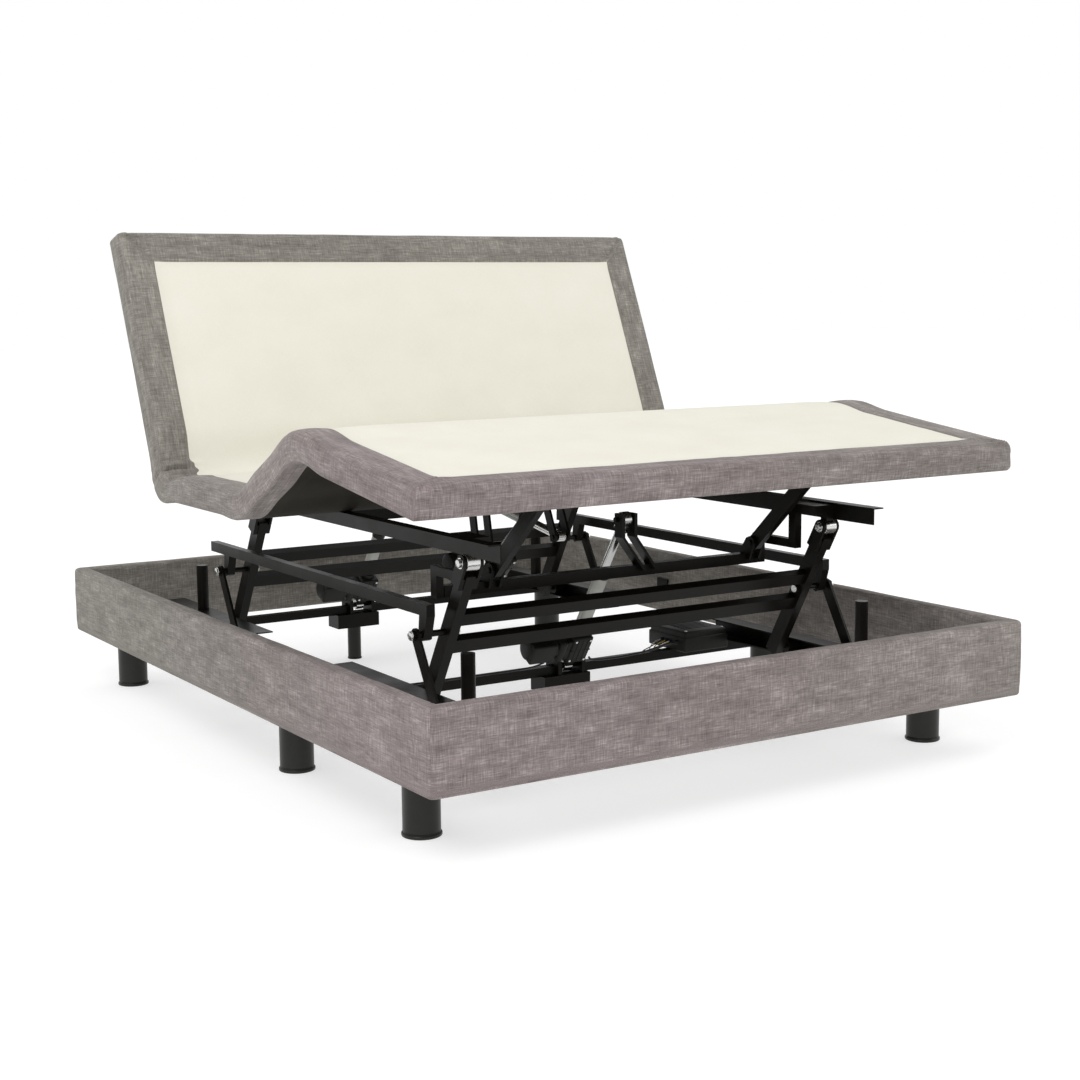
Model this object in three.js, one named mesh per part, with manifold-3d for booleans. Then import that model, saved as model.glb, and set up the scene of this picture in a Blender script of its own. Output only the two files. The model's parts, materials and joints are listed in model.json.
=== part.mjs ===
// Adjustable bed base: an upholstered base frame, a scissor lift inside it, and a four-section deck on top.
// Millimetres, +Z up. Origin on the floor under the centre of the base, +Y to the head end, +X to the
// right of someone who looks from the foot end. It stands as it does with every motor fully extended.
import * as THREE from 'three';
import { mergeVertices } from 'three/addons/utils/BufferGeometryUtils.js';
import Module from 'manifold-3d';

const wasm = await Module();
wasm.setup();

// ---------------------------------------------------------------- driving dimensions
const bedWidth = 1524;
const bedLength = 2032;
const fit = 0.3;                    // gap kept between pieces that touch

const base = { bottom: 134, top: 305, wall: 36 };
const leg = { radius: 38, footRadius: 40.5, footHeight: 7, inset: 95 };
const legRows = [-802.5, -223, 838];
const centreLeg = { radius: 19, top: 96, x: -15, y: 804 };
const beam = { depth: 26, bottom: 134, top: 156 };
const beamRows = { foot: -226, head: 804 };

const track = { inner: 500, outer: 548, bottom: 170, top: 216, sheet: 3, run: 600 };
const supportPost = { x: 524, radius: 15, top: 335 };

const rad = THREE.MathUtils.degToRad;
const scissor = {
  topPivot: { y: -675, z: 505 },    // foot pair; the head pair is one pitch further
  pitch: 1043,
  arm: 361,
  angle: rad(60),
  armX: 476, armWidth: 22, armDepth: 37,
  linkX: 556, linkWidth: 30, linkSheet: 6,
};
const tieRail = { x: 533, width: 20, bottom: 389, height: 25, footEnd: -609, headEnd: 554 };

const deck = {
  underside: 560, thickness: 65,
  headHinge: { y: 334, z: 573 },
  thighHinge: { y: -158, z: 573 },
  kneeHeight: 47,                   // of the knee axis over the underside of the two leg panels
  headLength: 668, thighLength: 337, legLength: 532,
  headAngle: rad(66.5), thighAngle: rad(26.7), legAngle: rad(-7.5),
};
const angleRail = { x: 487.2, web: 38, flange: 30, sheet: 3, top: 559.5, footEnd: -818, headEnd: 684 };
const footTube = { y: -470.8, z: 413.5, size: 25, half: 429.7, wall: 2.5 };
const strut = {
  xs: [-310, 410],
  width: 16, depth: 34,
  foot: { y: -496, z: 452 },
  alongLeg: 279.5, below: 25,
};

const lift = {
  foot: { x: 45, from: { y: -226, z: 152 }, to: { y: -476, z: 534 } },
  head: { x: 0, from: { y: 804, z: 157 }, to: { y: 584, z: 500 } },
};
const headDrive = { x: 100, frame: { y: -120, z: 450 }, crank: { y: -20.5, z: -56.4 } };
const legDrive = { x: -110, frame: { y: -116, z: 370 }, thigh: { y: -238, z: 27 } };
const centreTube = { y: -86, bottom: 526, top: 556 };
const headTube = { y: 584, bottom: 526, top: 556 };
const pin = 7;                      // radius of every pivot pin
const slack = 0.4;                  // running clearance of a pin in its bore

// ---------------------------------------------------------------- materials
function finish(color, roughness, metalness) {
  return () => new THREE.MeshStandardMaterial({ color, roughness, metalness });
}

const tweed = finish(0x918b87, 0.95, 0);
const blackSteel = finish(0x1b1a18, 0.45, 0.3);
const blackPlastic = finish(0x30302e, 0.55, 0);
const zinc = finish(0xb9b9b4, 0.3, 0.9);

// ---------------------------------------------------------------- solids
const group = new THREE.Group();

function solid(geometry) {
  const bare = geometry.clone();
  for (const name of Object.keys(bare.attributes)) if (name !== 'position') bare.deleteAttribute(name);
  const merged = mergeVertices(bare, 1e-4);
  return new wasm.Manifold(new wasm.Mesh({
    numProp: 3,
    vertProperties: new Float32Array(merged.attributes.position.array),
    triVerts: new Uint32Array(merged.index.array),
  }));
}

function geometryOf(body) {
  const mesh = body.getMesh();
  const geometry = new THREE.BufferGeometry();
  geometry.setAttribute('position', new THREE.BufferAttribute(new Float32Array(mesh.vertProperties), 3));
  geometry.setIndex(new THREE.BufferAttribute(new Uint32Array(mesh.triVerts), 1));
  geometry.computeVertexNormals();
  return geometry;
}

const join = (...parts) => parts.reduce((whole, part) => whole.add(part));
const cut = (whole, ...parts) => parts.reduce((rest, part) => rest.subtract(part), whole);

function put(name, body, material) {
  const mesh = new THREE.Mesh(geometryOf(body), material());
  mesh.name = name;
  group.add(mesh);
}

function box(x0, x1, y0, y1, z0, z1) {
  const geometry = new THREE.BoxGeometry(x1 - x0, y1 - y0, z1 - z0);
  geometry.translate((x0 + x1) / 2, (y0 + y1) / 2, (z0 + z1) / 2);
  return solid(geometry);
}

// Which world axes a flat outline's own x, y and extrusion run along.
const along = { x: new THREE.Vector3(1, 0, 0), y: new THREE.Vector3(0, 1, 0), z: new THREE.Vector3(0, 0, 1) };
const planes = {
  yz: new THREE.Matrix4().makeBasis(along.y, along.z, along.x),
  zx: new THREE.Matrix4().makeBasis(along.z, along.x, along.y),
};
const toPoints = (pairs) => pairs.map(([a, b]) => new THREE.Vector2(a, b));

function prism(plane, shape, from, to, curveSegments = 8) {
  const outline = Array.isArray(shape) ? new THREE.Shape(toPoints(shape)) : shape;
  const options = { depth: to - from, bevelEnabled: false, curveSegments };
  const geometry = new THREE.ExtrudeGeometry(outline, options);
  geometry.translate(0, 0, from);
  geometry.applyMatrix4(planes[plane]);
  return solid(geometry);
}

function rectangle(a0, a1, b0, b1) {
  return [[a0, b0], [a1, b0], [a1, b1], [a0, b1]];
}

function hollow(a0, a1, b0, b1, wall) {
  const shape = new THREE.Shape(toPoints(rectangle(a0, a1, b0, b1)));
  const inside = rectangle(a0 + wall, a1 - wall, b0 + wall, b1 - wall).reverse();
  shape.holes.push(new THREE.Path(toPoints(inside)));
  return shape;
}

// A round bar along X at (y, z).
function roundX(at, radius, x0, x1, sides = 12) {
  const geometry = new THREE.CylinderGeometry(radius, radius, x1 - x0, sides);
  geometry.rotateZ(Math.PI / 2);
  geometry.translate((x0 + x1) / 2, at.y, at.z);
  return solid(geometry);
}

function roundZ(x, y, radius, z0, z1, sides = 20) {
  const geometry = new THREE.CylinderGeometry(radius, radius, z1 - z0, sides);
  geometry.rotateX(Math.PI / 2);
  geometry.translate(x, y, (z0 + z1) / 2);
  return solid(geometry);
}

// Lays a body that is drawn along +Y from the origin onto the line from one (y, z) point towards another.
function aim(body, from, to) {
  const angle = Math.atan2(to.z - from.z, to.y - from.y) * THREE.MathUtils.RAD2DEG;
  return body.rotate([angle, 0, 0]).translate([0, from.y, from.z]);
}

// Turns a body that is drawn about a pivot at the origin by an angle, and sets it on its pivot.
function swing(body, pivot, angle) {
  return body.rotate([angle * THREE.MathUtils.RAD2DEG, 0, 0]).translate([0, pivot.y, pivot.z]);
}

const distance = (a, b) => Math.hypot(b.y - a.y, b.z - a.z);
const turned = (v, angle) => ({
  y: v.y * Math.cos(angle) - v.z * Math.sin(angle),
  z: v.y * Math.sin(angle) + v.z * Math.cos(angle),
});
const plus = (a, b) => ({ y: a.y + b.y, z: a.z + b.z });
const mirror = (body, side) => (side < 0 ? body.mirror([1, 0, 0]) : body);
const sides = [['left', -1], ['right', 1]];
const ends = [['foot', 0], ['head', scissor.pitch]];

// A flat bar along +Y with round ends about two pivots, drawn from x0 to x1.
function roundEndedBar(length, depth, x0, x1) {
  const shape = new THREE.Shape();
  shape.absarc(0, 0, depth / 2, Math.PI / 2, Math.PI * 1.5, false);
  shape.absarc(length, 0, depth / 2, -Math.PI / 2, Math.PI / 2, false);
  shape.closePath();
  return prism('yz', shape, x0, x1, 6);
}

// ---------------------------------------------------------------- base frame
function baseRails() {
  const x = bedWidth / 2;
  const y = bedLength / 2;
  for (const [side, sign] of sides) {
    put(`base_rail_${side}`, mirror(box(x - base.wall, x, -y, y, base.bottom, base.top), sign), tweed);
  }
  for (const [end, sign] of [['foot', -1], ['head', 1]]) {
    const [y0, y1] = [sign * (y - base.wall), sign * y].sort((a, b) => a - b);
    const inner = x - base.wall - fit;
    put(`base_rail_${end}`, box(-inner, inner, y0, y1, base.bottom, base.top), tweed);
  }
}

function legs() {
  const names = ['foot', 'middle', 'head'];
  legRows.forEach((y, row) => {
    for (const [side, sign] of sides) {
      const x = sign * (bedWidth / 2 - leg.inset);
      const body = join(
        roundZ(x, y, leg.radius, 0, base.bottom - fit),
        roundZ(x, y, leg.footRadius, 0, leg.footHeight),
        roundZ(x, y, leg.footRadius - 1, base.bottom - 8, base.bottom - fit),
      );
      put(`leg_${names[row]}_${side}`, body, blackPlastic);
    }
  });
  const { x, y } = centreLeg;
  put('leg_centre_head', join(
    roundZ(x, y, centreLeg.radius, 0, centreLeg.top),
    roundZ(x, y, centreLeg.radius + 1.5, 0, 5),
  ), blackPlastic);
}

// Beams from side rail to side rail. They carry the tracks and, between two cheeks, the lift motors' feet.
function crossBeams() {
  const reach = bedWidth / 2 - base.wall - fit;
  const halfDepth = beam.depth / 2;
  const cheek = { offset: 34, half: 5 };
  for (const [end, y] of Object.entries(beamRows)) {
    const pivot = lift[end].from;
    const middle = lift[end].x;
    const centre = middle - 15;
    const section = hollow(y - halfDepth, y + halfDepth, beam.bottom, beam.top, 2.5);
    const tube = prism('yz', section, -reach, reach);
    const shoe = box(centre - 65, centre + 65, y - 32, y + 32, centreLeg.top + fit, beam.bottom + 1);
    const cheeks = [-1, 1].map((sign) => {
      const x = middle + sign * cheek.offset;
      const plate = rectangle(y - 28, y + 28, beam.bottom - 20, pivot.z + 17);
      return prism('yz', plate, x - cheek.half, x + cheek.half);
    });
    const bolt = roundX(pivot, pin, middle - 44, middle + 44);
    const room = box(middle - 29, middle + 29, y - 60, y + 60, beam.bottom + 3, pivot.z + 40);
    const carcass = cut(join(tube, shoe), room);
    put(`${end}_cross_beam`, join(carcass, ...cheeks, bolt), blackSteel);
  }
}

// A C-channel open to the middle of the bed, with its saddle on the beam, the arm that ties it to the
// side rail, the deck's rest post and the pivot of the scissor's link.
function tracks() {
  const sideRail = bedWidth / 2 - base.wall - fit;
  for (const [end, shift] of ends) {
    const y0 = -771 + shift;
    const y1 = y0 + track.run;
    const postY = shift === 0 ? -744 : 671;
    for (const [side, sign] of sides) {
      const { inner, outer, bottom, top, sheet } = track;
      const channel = cut(
        box(inner, outer, y0, y1, bottom, top),
        box(inner - 1, outer - sheet, y0 - 1, y1 + 1, bottom + sheet, top - sheet),
      );
      const saddle = box(inner, outer, beamRows[end] - 35, beamRows[end] + 35, beam.top + fit, bottom + 1);
      const tie = join(
        box(track.outer - 1, sideRail, y0 + 8, y0 + 58, track.bottom, track.bottom + 4),
        box(sideRail - 4, sideRail, y0 + 8, y0 + 58, track.bottom, track.bottom + 60),
      );
      const post = roundZ(supportPost.x, postY, supportPost.radius, track.top - 1, supportPost.top);
      const linkPivot = { y: scissor.topPivot.y + shift, z: rollerHeight };
      const stub = roundX(linkPivot, pin, track.outer - 1, scissor.linkX + scissor.linkSheet / 2 + 8);
      put(`track_${end}_${side}`, mirror(join(channel, saddle, tie, post, stub), sign), blackSteel);
    }
  }
}

function controlBox() {
  const y = beamRows.foot;
  const body = box(352, 488, y - 70, y + 84, beam.top + fit, 208);
  const gland = roundX({ y: y - 40, z: 180 }, 6, 340, 353);
  put('control_box', join(body, gland), blackPlastic);
}

// The lift motor's lead, clipped between the control box and the foot motor bracket.
function cable() {
  const route = new THREE.CatmullRomCurve3([
    [339.6, -266, 180], [310, -266, 177], [260, -264, 168], [210, -262, 163],
    [160, -260, 161], [120, -260, 162], [96, -260, 166], [89.5, -260, 172],
  ].map((p) => new THREE.Vector3(...p)));
  const section = new THREE.Shape();
  section.absarc(0, 0, 2.6, 0, Math.PI * 2, false);
  const options = { extrudePath: route, steps: 24, curveSegments: 4, bevelEnabled: false };
  const geometry = new THREE.ExtrudeGeometry(section, options);
  put('lift_motor_cable', solid(geometry), blackPlastic);
}

// ---------------------------------------------------------------- scissor lift
const rollerHeight = scissor.topPivot.z - scissor.arm * Math.sin(scissor.angle);
const downArm = { y: Math.cos(scissor.angle), z: -Math.sin(scissor.angle) };

function scissorPoints(shift) {
  const top = { y: scissor.topPivot.y + shift, z: scissor.topPivot.z };
  const at = (s) => ({ y: top.y + downArm.y * s, z: top.z + downArm.z * s });
  return { top, middle: at(scissor.arm / 2), roller: at(scissor.arm), anchor: { y: top.y, z: rollerHeight } };
}

function scissorArms() {
  const half = scissor.armWidth / 2;
  const fork = { half: 22.5, sheet: 6 };
  for (const [end, shift] of ends) {
    const points = scissorPoints(shift);
    for (const [side, sign] of sides) {
      const outline = rectangle(24, scissor.arm + 14, -scissor.armDepth / 2, scissor.armDepth / 2);
      const bar = prism('yz', outline, scissor.armX - half, scissor.armX + half);
      const block = prism('yz', rectangle(30, 58, -17, 17), scissor.armX - fork.half, scissor.armX + fork.half);
      const lugs = [-1, 1].map((lug) => {
        const x = scissor.armX + lug * (fork.half - fork.sheet / 2);
        return roundEndedBar(40, 34, x - fork.sheet / 2, x + fork.sheet / 2);
      });
      const bolt = join(
        roundX({ y: 0, z: 0 }, 5, scissor.armX - 27, scissor.armX + 27, 8),
        roundX({ y: 0, z: 0 }, 9, scissor.armX - fork.half - 5, scissor.armX - fork.half + 1, 6),
        roundX({ y: 0, z: 0 }, 9, scissor.armX + fork.half - 1, scissor.armX + fork.half + 5, 6),
      );
      const glide = join(
        roundX({ y: scissor.arm, z: 0 }, 8, scissor.armX, track.inner + 6, 14),
        roundX({ y: scissor.arm, z: 0 }, 19, track.inner + 5, track.outer - 8, 18),
      );
      const bore = roundX({ y: scissor.arm / 2, z: 0 }, pin + slack, scissor.armX - 40, scissor.armX + 40);
      const arm = join(cut(join(bar, block), bore), ...lugs, bolt, glide);
      put(`${end}_arm_${side}`, mirror(aim(arm, points.top, points.roller), sign), blackSteel);
    }
    for (const [name, s, width, depth] of [['upper', 146, 30, 20], ['lower', 218, 34, 20]]) {
      const reach = scissor.armX - half - fit;
      const section = hollow(s - width / 2, s + width / 2, -depth / 2, depth / 2, 2.5);
      const tube = prism('yz', section, -reach, reach);
      put(`${end}_arm_tube_${name}`, aim(tube, points.top, points.roller), blackSteel);
    }
  }
}

function links() {
  const half = scissor.linkSheet / 2;
  for (const [end, shift] of ends) {
    const points = scissorPoints(shift);
    const length = scissor.arm / 2;
    for (const [side, sign] of sides) {
      const bar = roundEndedBar(length, scissor.linkWidth, scissor.linkX - half, scissor.linkX + half);
      const bore = roundX({ y: 0, z: 0 }, pin + slack, scissor.linkX - 20, scissor.linkX + 20);
      const spindle = join(
        roundX({ y: length, z: 0 }, pin, scissor.armX - 17, scissor.linkX + half + 1),
        roundX({ y: length, z: 0 }, 11, scissor.linkX + half - 1, scissor.linkX + half + 7, 6),
        roundX({ y: length, z: 0 }, 11, scissor.armX - 18, scissor.armX - 11 - slack, 6),
      );
      const link = join(cut(bar, bore), spindle);
      put(`${end}_link_${side}`, mirror(aim(link, points.anchor, points.middle), sign), blackSteel);
    }
  }
}

// The bars that tie the foot scissors to the head scissors; each hangs on the middle pins by two straps.
function tieRails() {
  const x0 = tieRail.x - tieRail.width / 2;
  const x1 = tieRail.x + tieRail.width / 2;
  const top = tieRail.bottom + tieRail.height;
  for (const [side, sign] of sides) {
    const tube = box(x0, x1, tieRail.footEnd, tieRail.headEnd, tieRail.bottom, top);
    const straps = ends.map(([, shift]) => {
      const middle = scissorPoints(shift).middle;
      const strap = prism('yz', [
        [middle.y - 24, tieRail.bottom + 1], [middle.y - 13, middle.z + 4], [middle.y - 9, middle.z - 10],
        [middle.y, middle.z - 14], [middle.y + 9, middle.z - 10], [middle.y + 13, middle.z],
        [middle.y + 8, tieRail.bottom + 1],
      ], x0, x1);
      return cut(strap, roundX(middle, pin + slack, x0 - 5, x1 + 5));
    });
    put(`tie_rail_${side}`, mirror(join(tube, ...straps), sign), blackSteel);
  }
}

// ---------------------------------------------------------------- deck frame
function angleRails() {
  for (const [side, sign] of sides) {
    const { x, sheet, top, footEnd, headEnd } = angleRail;
    const body = join(
      box(x, x + sheet, footEnd, headEnd, top - angleRail.web, top),
      box(x, x + angleRail.flange, footEnd, headEnd, top - sheet, top),
    );
    put(`angle_rail_${side}`, mirror(body, sign), blackSteel);
  }
}

// The sleeve that the top bolt of a scissor arm passes through, on its post.
function pivotPost(shift) {
  const top = scissorPoints(shift).top;
  const face = angleRail.x - fit;
  const post = box(face - 21, face, top.y - 10, top.y + 10, top.z + 8, angleRail.top - 4);
  const sleeve = roundX(top, 16, scissor.armX - 15.8, scissor.armX + 15.8, 16);
  return cut(join(post, sleeve), roundX(top, 13, scissor.armX - 40, scissor.armX + 40, 16));
}

function frameBrackets() {
  const face = angleRail.x - fit;
  const bar = { x0: 432, x1: 450 };
  const tube = { y0: footTube.y - footTube.size / 2, y1: footTube.y + footTube.size / 2 };
  for (const [side, sign] of sides) {
    const drop = join(
      box(bar.x0, face, -685, -591, 534, angleRail.top - 4),
      box(bar.x0, bar.x1, -616, -591, 450, 535),
      box(bar.x0, bar.x1, -616, tube.y1, 450, 470),
      box(bar.x0, bar.x1, tube.y0, tube.y1, footTube.z - footTube.size / 2, 451),
    );
    put(`foot_bracket_${side}`, mirror(join(drop, pivotPost(0)), sign), blackSteel);
    put(`head_pivot_post_${side}`, mirror(pivotPost(scissor.pitch), sign), blackSteel);
  }
}

// Foot cross tube with the clevises that hold the leg struts and the foot lift motor's rod.
function footCrossTube() {
  const { y, z, size, half, wall } = footTube;
  const section = hollow(y - size / 2, y + size / 2, z - size / 2, z + size / 2, wall);
  const tube = prism('yz', section, -half, half);
  const at = strut.foot;
  const outline = [
    [at.y + 4, z - 2], [y + size / 2, z - 2], [y + size / 2, z + 18],
    [at.y + 14, at.z + 12], [at.y, at.z + 17], [at.y - 12, at.z + 12], [at.y - 16, at.z],
  ];
  const clevises = strut.xs.flatMap((x) => [
    ...[-1, 1].map((lug) => prism('yz', outline, x + lug * 13.5 - 3, x + lug * 13.5 + 3)),
    roundX(at, pin, x - 20, x + 20),
  ]);
  const to = lift.foot.to;
  const cheeks = [[84, 24], [117, 58]].map(([foot, head]) => prism('zx', [
    [z, foot], [z, foot + 8],
    [to.z - 40, head + 8], [to.z + 14, head + 8], [to.z + 14, head], [to.z - 40, head],
  ], to.y - 22, to.y + 9));
  const bolt = roundX(to, pin - 1, 18, 74);
  put('foot_cross_tube', join(tube, ...clevises, ...cheeks, bolt), blackSteel);
}

function upperCrossTubes() {
  const reach = angleRail.x - fit;
  const bar = ({ y, bottom, top }) => prism('yz', hollow(y - 15, y + 15, bottom, top, 2.5), -reach, reach);
  const clevis = (x, tube, at) => join(
    ...[-1, 1].map((lug) => prism('yz', [
      [tube.y - 14, tube.bottom + 1], [at.y - 14, at.z + 4], [at.y - 9, at.z - 12],
      [at.y + 9, at.z - 12], [at.y + 14, at.z + 4], [tube.y + 14, tube.bottom + 1],
    ], x + lug * 19 - 3, x + lug * 19 + 3)),
    roundX(at, pin - 1, x - 25, x + 25),
  );
  put('centre_cross_tube', join(
    bar(centreTube),
    clevis(headDrive.x, centreTube, headDrive.frame),
    clevis(legDrive.x, centreTube, legDrive.frame),
  ), blackSteel);
  put('head_cross_tube', join(bar(headTube), clevis(lift.head.x, headTube, lift.head.to)), blackSteel);
}

// ---------------------------------------------------------------- deck panels
const hingeHeight = deck.thighHinge.z - deck.underside;
const kneeFlat = { y: -deck.thighLength, z: deck.kneeHeight - hingeHeight };
const knee = plus(deck.thighHinge, turned(kneeFlat, -deck.thighAngle));

// An end face that meets its neighbour at a hinge: square on the side that opens, mitred on the other.
function endFace(at, height, fold, concave, outward) {
  const lean = Math.tan(fold / 2);
  const gap = 0.6;
  const face = (h) => {
    const closing = concave === 'top' ? h > height : h < height;
    return [at - outward * (gap + (closing ? lean * Math.abs(h - height) : 0)), h];
  };
  return [face(0), face(height), face(deck.thickness)];
}

function panel(name, low, high, place) {
  const outline = [...low, ...high.reverse()];
  const half = bedWidth / 2;
  put(name, place(prism('yz', outline, -half, half)), tweed);
}

const plainEnd = (at) => [[at, 0], [at, deck.thickness]];

function deckPanels() {
  const { headHinge, thighHinge, underside, headAngle, thighAngle, legAngle } = deck;
  const kneeFold = thighAngle - legAngle;
  const hang = (origin, height, angle) => (body) => swing(body.translate([0, 0, -height]), origin, angle);

  panel('seat_panel',
    endFace(thighHinge.y, hingeHeight, thighAngle, 'top', -1),
    endFace(headHinge.y, hingeHeight, headAngle, 'top', 1),
    (body) => body.translate([0, 0, underside]));
  panel('head_panel',
    endFace(0, hingeHeight, headAngle, 'top', -1),
    plainEnd(deck.headLength),
    hang(headHinge, hingeHeight, headAngle));
  panel('thigh_panel',
    endFace(-deck.thighLength, deck.kneeHeight, kneeFold, 'bottom', -1),
    endFace(0, hingeHeight, thighAngle, 'top', 1),
    hang(thighHinge, hingeHeight, -thighAngle));
  panel('leg_panel',
    plainEnd(-deck.legLength),
    endFace(0, deck.kneeHeight, kneeFold, 'bottom', 1),
    hang(knee, deck.kneeHeight, -legAngle));
}

// ---------------------------------------------------------------- leg struts and panel brackets
const strutFlat = { y: -strut.alongLeg, z: -deck.kneeHeight - strut.below };
const strutTop = plus(knee, turned(strutFlat, -deck.legAngle));

function legStruts() {
  const length = distance(strut.foot, strutTop);
  const names = ['left', 'right'];
  strut.xs.forEach((x, i) => {
    const bar = roundEndedBar(length, strut.depth, x - strut.width / 2, x + strut.width / 2);
    const bores = [[0, pin + slack], [length, 13]].map(([s, r]) => roundX({ y: s, z: 0 }, r, x - 20, x + 20));
    put(`leg_strut_${names[i]}`, aim(cut(bar, ...bores), strut.foot, strutTop), blackSteel);
    const face = -deck.kneeHeight - fit;
    const lug = (sign) => prism('yz', [
      [strutFlat.y - 24, face], [strutFlat.y - 10, strutFlat.z - 9],
      [strutFlat.y + 10, strutFlat.z - 9], [strutFlat.y + 24, face],
    ], x + sign * 13.5 - 3, x + sign * 13.5 + 3);
    const axle = roundX(strutFlat, pin - 1, x - 20, x + 20);
    put(`leg_bracket_${names[i]}`, swing(join(lug(-1), lug(1), axle), knee, -deck.legAngle), blackSteel);
  });
}

// Cranks under the head and thigh panels, where the two adjustment motors push.
function panelBrackets() {
  const tip = headDrive.crank;
  const flat = deck.underside - deck.headHinge.z - fit;
  const crank = (outline, at, x) => join(
    ...[-1, 1].map((sign) => prism('yz', outline, x + sign * 19 - 3, x + sign * 19 + 3)),
    roundX(at, pin - 1, x - 25, x + 25),
  );
  const headCrank = crank([
    [24, flat], [tip.y - 14, tip.z + 6], [tip.y - 9, tip.z - 12],
    [tip.y + 9, tip.z - 12], [tip.y + 15, tip.z], [110, flat],
  ], tip, headDrive.x);
  put('head_crank', swing(headCrank, deck.headHinge, deck.headAngle), blackSteel);

  const thighTip = turned(legDrive.thigh, deck.thighAngle);
  const thighCrank = crank([
    [thighTip.y - 42, flat], [thighTip.y - 12, thighTip.z - 10],
    [thighTip.y + 12, thighTip.z - 10], [thighTip.y + 42, flat],
  ], thighTip, legDrive.x);
  put('thigh_bracket', swing(thighCrank, deck.thighHinge, -deck.thighAngle), blackSteel);
}

// ---------------------------------------------------------------- linear motors
// A motor of two nodes: the body with its geared motor beside the outer tube, and the rod that slides in it.
// The wide bush, where there is one, is the end at which the linkage is free.
function linearMotor({ name, x, bodyEnd, rodEnd, tubeLength, stroke, neck, motorSide, bushes }) {
  const length = distance(bodyEnd, rodEnd);
  const alongY = (radius, y0, y1, segments = 14) => {
    const geometry = new THREE.CylinderGeometry(radius, radius, y1 - y0, segments);
    geometry.translate(0, (y0 + y1) / 2, 0);
    return solid(geometry).translate([x, 0, 0]);
  };
  const well = neck + 62;
  const across = (a, b) => [Math.min(x + a, x + b), Math.max(x + a, x + b)];
  const eye = roundEndedBar(neck + 4, 2 * bushes.body + 13, x - 11, x + 11);
  const gearbox = box(x - 27, x + 27, neck, neck + 78, -29, 29);
  const shoulder = box(...across(0, motorSide * 40), neck + 12, neck + 66, -25, 25);
  const geared = box(...across(motorSide * 39, motorSide * 142), neck + 8, neck + 70, -31, 31);
  const body = cut(
    join(eye, gearbox, shoulder, geared, alongY(17, neck + 70, tubeLength)),
    alongY(11.5, well, tubeLength + 1),
    roundX({ y: 0, z: 0 }, bushes.body, x - 40, x + 40, 16),
  );
  put(`${name}_motor`, aim(body, bodyEnd, rodEnd), blackPlastic);

  const rodEye = roundEndedBar(20, 2 * bushes.rod + 10, x - 10, x + 10).translate([0, length - 20, 0]);
  const rod = cut(
    join(alongY(10.5, well + stroke + 6, length - 14), rodEye),
    roundX({ y: length, z: 0 }, bushes.rod, x - 40, x + 40),
  );
  put(`${name}_rod`, aim(rod, bodyEnd, rodEnd), zinc);
}

function motors() {
  const headTip = plus(deck.headHinge, turned(headDrive.crank, deck.headAngle));
  const thighTip = plus(deck.thighHinge, legDrive.thigh);
  const fitted = pin + slack;
  const common = { stroke: 95, neck: 34, motorSide: -1, bushes: { body: fitted, rod: 12 } };
  for (const [end, tubeLength] of [['foot', 300], ['head', 270]]) {
    const { x, from, to } = lift[end];
    linearMotor({ ...common, name: `${end}_lift`, x, bodyEnd: from, rodEnd: to, tubeLength });
  }
  linearMotor({
    ...common, name: 'leg_tilt', x: legDrive.x, bodyEnd: legDrive.frame, rodEnd: thighTip,
    tubeLength: 250,
  });
  linearMotor({
    name: 'head_tilt', x: headDrive.x, bodyEnd: headTip, rodEnd: headDrive.frame,
    tubeLength: 350, stroke: 68, neck: 36, motorSide: 1, bushes: { body: 17.2, rod: fitted },
  });
}

baseRails();
legs();
crossBeams();
tracks();
controlBox();
cable();
scissorArms();
links();
tieRails();
angleRails();
frameBrackets();
footCrossTube();
upperCrossTubes();
deckPanels();
legStruts();
panelBrackets();
motors();

export default group;
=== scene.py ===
"""The looks of an adjustable bed base: upholstered deck and rails, powder-coated steel, motors and leads."""

import json
import math

import bmesh
import bpy
import numpy as np
from mathutils import Matrix, Vector, noise


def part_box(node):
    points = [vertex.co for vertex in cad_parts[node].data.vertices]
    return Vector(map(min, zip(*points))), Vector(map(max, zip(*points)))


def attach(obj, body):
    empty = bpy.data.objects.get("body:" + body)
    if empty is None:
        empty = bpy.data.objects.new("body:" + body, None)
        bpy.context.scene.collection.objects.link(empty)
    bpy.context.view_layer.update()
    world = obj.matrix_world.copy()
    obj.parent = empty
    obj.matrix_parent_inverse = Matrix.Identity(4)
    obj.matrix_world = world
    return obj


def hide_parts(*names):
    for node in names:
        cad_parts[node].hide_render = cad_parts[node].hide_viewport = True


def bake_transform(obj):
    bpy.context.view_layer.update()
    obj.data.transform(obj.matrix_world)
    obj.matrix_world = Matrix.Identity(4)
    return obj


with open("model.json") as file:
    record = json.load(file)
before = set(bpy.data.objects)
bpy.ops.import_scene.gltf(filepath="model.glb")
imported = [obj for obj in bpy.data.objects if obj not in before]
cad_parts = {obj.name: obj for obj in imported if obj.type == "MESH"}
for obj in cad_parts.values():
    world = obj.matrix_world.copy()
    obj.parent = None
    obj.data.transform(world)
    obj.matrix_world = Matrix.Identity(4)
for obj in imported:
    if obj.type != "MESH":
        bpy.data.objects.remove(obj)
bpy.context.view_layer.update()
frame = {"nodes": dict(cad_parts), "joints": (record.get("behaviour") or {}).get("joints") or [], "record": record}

MM = 0.001
JOINTS = {joint["name"]: joint for joint in frame["joints"]}
COUPLINGS = {c["joint"]: c for c in frame["record"]["behaviour"]["couplings"]}

# ------------------------------------------------------------------ camera, floor and light
CAMERA_PLACE = Vector((-2.2663, -3.7855, 1.0511))
CAMERA_YAW = 0.5619        # from +Y towards +X, radians
CAMERA_PITCH = 0.1389      # downwards
CAMERA_ROLL = -0.0091
CAMERA_LENS = 59.54        # on a 36 mm sensor
FLOOR_REACH = 30


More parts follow.
